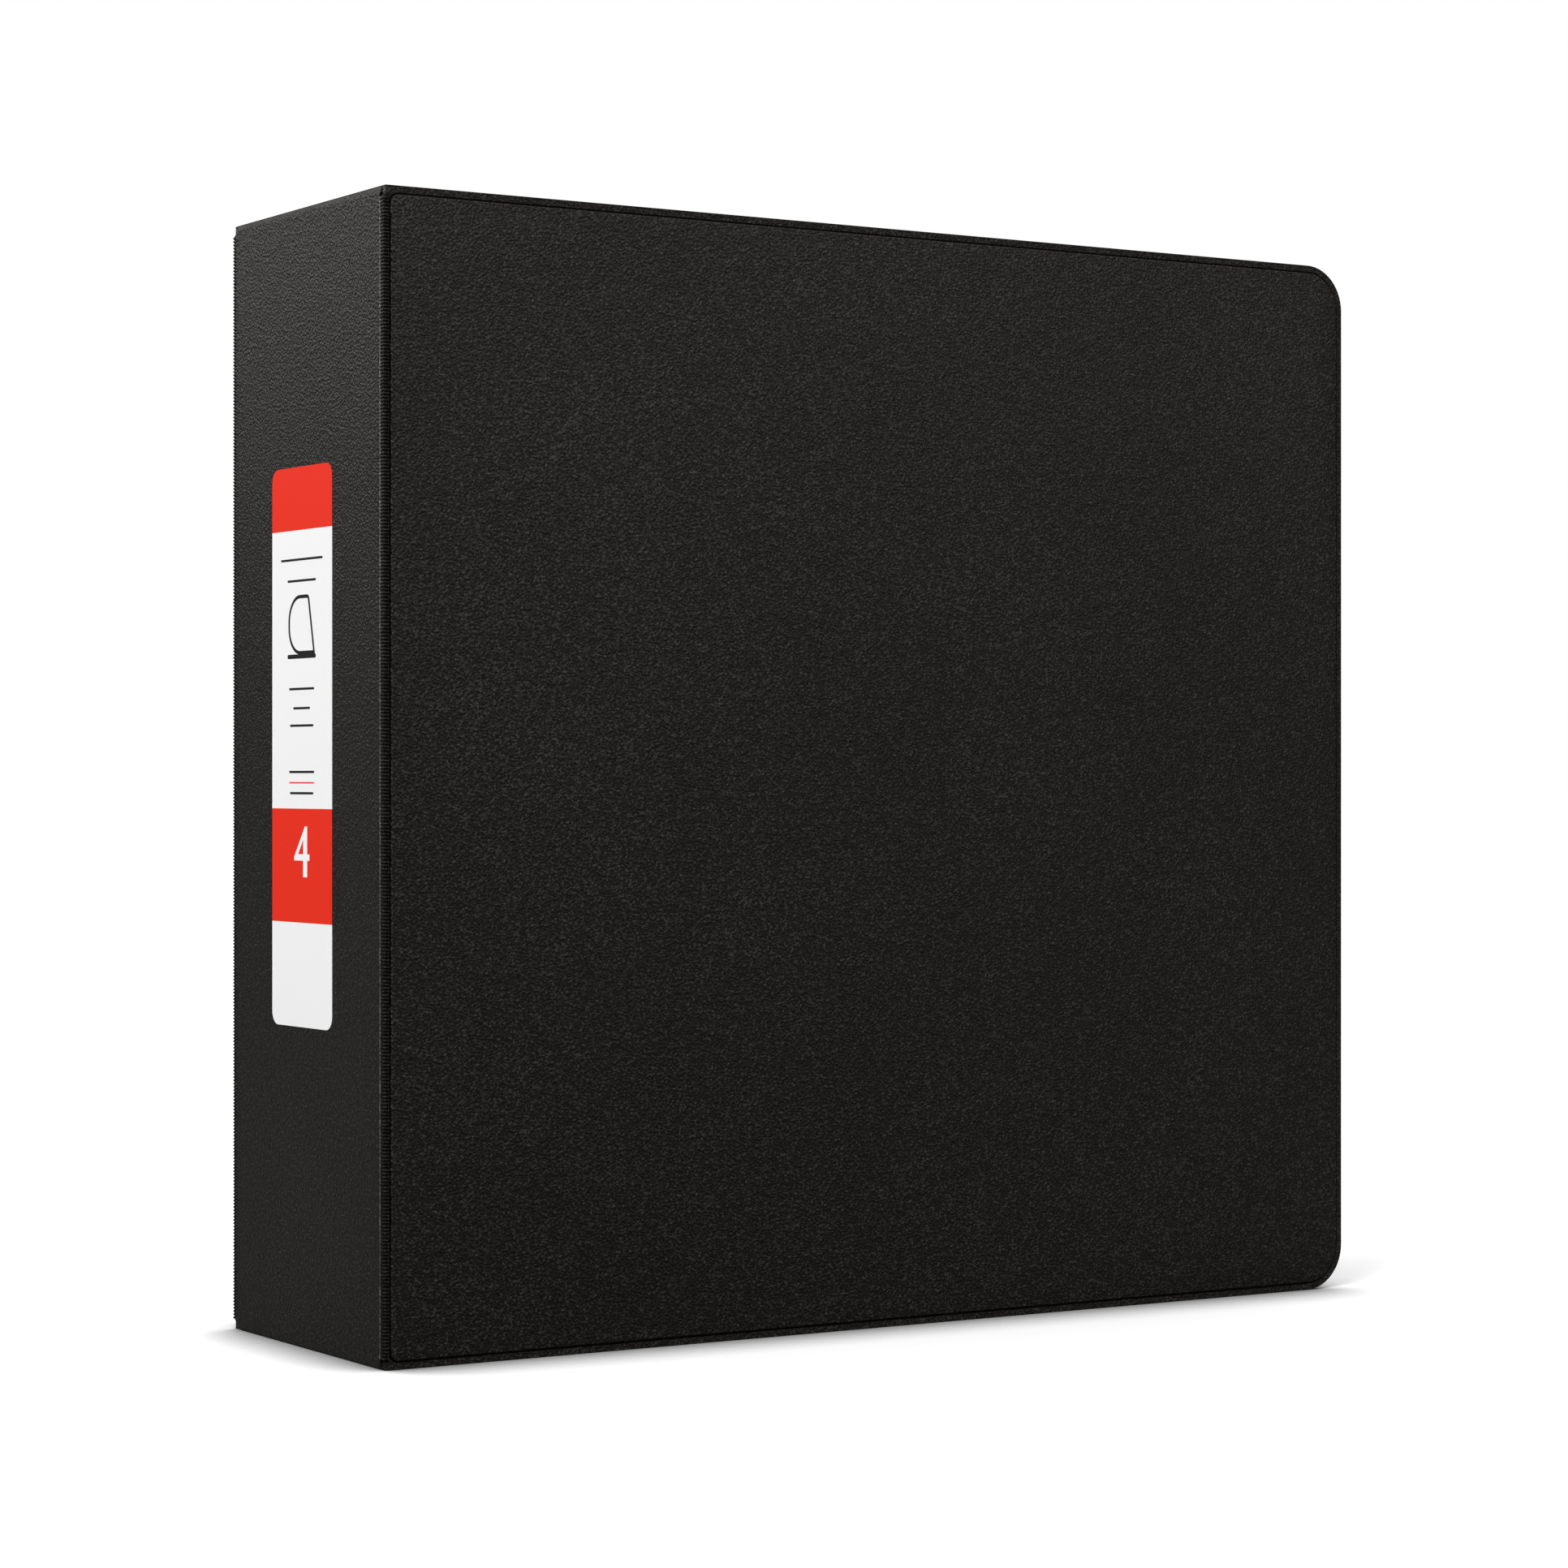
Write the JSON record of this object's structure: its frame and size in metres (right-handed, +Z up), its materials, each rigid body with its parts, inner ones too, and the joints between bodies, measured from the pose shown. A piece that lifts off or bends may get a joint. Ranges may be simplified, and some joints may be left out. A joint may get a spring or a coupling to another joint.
{
  "type": "ring binder",
  "caption": "Upright ring binder: welded plastic covers and spine on living hinges, with a D-ring mechanism, levers and inside pockets.",
  "frame": {"origin": "on the surface the binder stands on, under the middle of its outline", "axes": "+X from the spine to the covers' free edges, +Y from the front cover to the back cover, +Z up along the spine"},
  "size_m": [0.3081, 0.0925, 0.295],
  "materials": {
    "case_sheet": "black pebble-grained film",
    "case_liner": "fine matt film",
    "board": "plain grey board",
    "pocket": "smooth satin film",
    "hinge": "ribbed weld",
    "label": "smooth printed paper",
    "nickel_plate": "bright nickel plate on pressed steel",
    "ring_wire": "polished nickel plate on drawn wire",
    "rivet_steel": "plated steel"
  },
  "bodies": {
    "back_cover": {"back_sheet": "case_sheet", "back_board": "board", "back_liner": "case_liner", "back_pocket": "pocket", "housing": "nickel_plate", "lower_rivet": "rivet_steel", "upper_rivet": "rivet_steel", "lower_lever_pin": "rivet_steel", "upper_lever_pin": "rivet_steel"},
    "spine": {"spine_sheet": "case_sheet", "spine_board": "board", "spine_liner": "case_liner", "spine_label": "label", "front_hinge_strip": "hinge", "back_hinge_strip": "hinge"},
    "front_cover": {"front_sheet": "case_sheet", "front_board": "board", "front_liner": "case_liner", "front_pocket": "pocket"},
    "curved_halves": {"curved_blade": "nickel_plate", "lower_curved_ring": "ring_wire", "middle_curved_ring": "ring_wire", "upper_curved_ring": "ring_wire"},
    "straight_halves": {"straight_blade": "nickel_plate", "lower_straight_ring": "ring_wire", "middle_straight_ring": "ring_wire", "upper_straight_ring": "ring_wire"},
    "lower_lever_body": {"lower_lever": "nickel_plate"},
    "upper_lever_body": {"upper_lever": "nickel_plate"}
  },
  "joints": [
    {"name": "back_hinge", "type": "hinge", "parent": "back_cover", "child": "spine", "pos_m": [-0.1529, 0.04465, 0], "axis": [0, 0, -1], "range_deg": [0, 180], "deforming": ["back_hinge_strip"]},
    {"name": "front_hinge", "type": "hinge", "parent": "spine", "child": "front_cover", "pos_m": [-0.1529, -0.04465, 0], "axis": [0, 0, -1], "range_deg": [0, 180], "deforming": ["front_hinge_strip"]},
    {"name": "curved_blade_tilt", "type": "hinge", "parent": "back_cover", "child": "curved_halves", "pos_m": [-0.10025, 0.03735, 0.1475], "axis": [0, 0, -1], "range_deg": [0, 15]},
    {"name": "straight_blade_tilt", "type": "hinge", "parent": "back_cover", "child": "straight_halves", "pos_m": [-0.07175, 0.03735, 0.1475], "axis": [0, 0, -1], "range_deg": [-15, 0]},
    {"name": "lower_lever_swing", "type": "hinge", "parent": "back_cover", "child": "lower_lever_body", "pos_m": [-0.086, 0.03735, 0.0225], "axis": [1, 0, 0], "range_deg": [0, 30]},
    {"name": "upper_lever_swing", "type": "hinge", "parent": "back_cover", "child": "upper_lever_body", "pos_m": [-0.086, 0.03735, 0.2725], "axis": [1, 0, 0], "range_deg": [-30, 0]}
  ],
  "couplings": [
    {"joint": "straight_blade_tilt", "follows": "curved_blade_tilt", "ratio": -1},
    {"joint": "lower_lever_swing", "follows": "curved_blade_tilt", "ratio": 2},
    {"joint": "upper_lever_swing", "follows": "curved_blade_tilt", "ratio": -2}
  ]
}
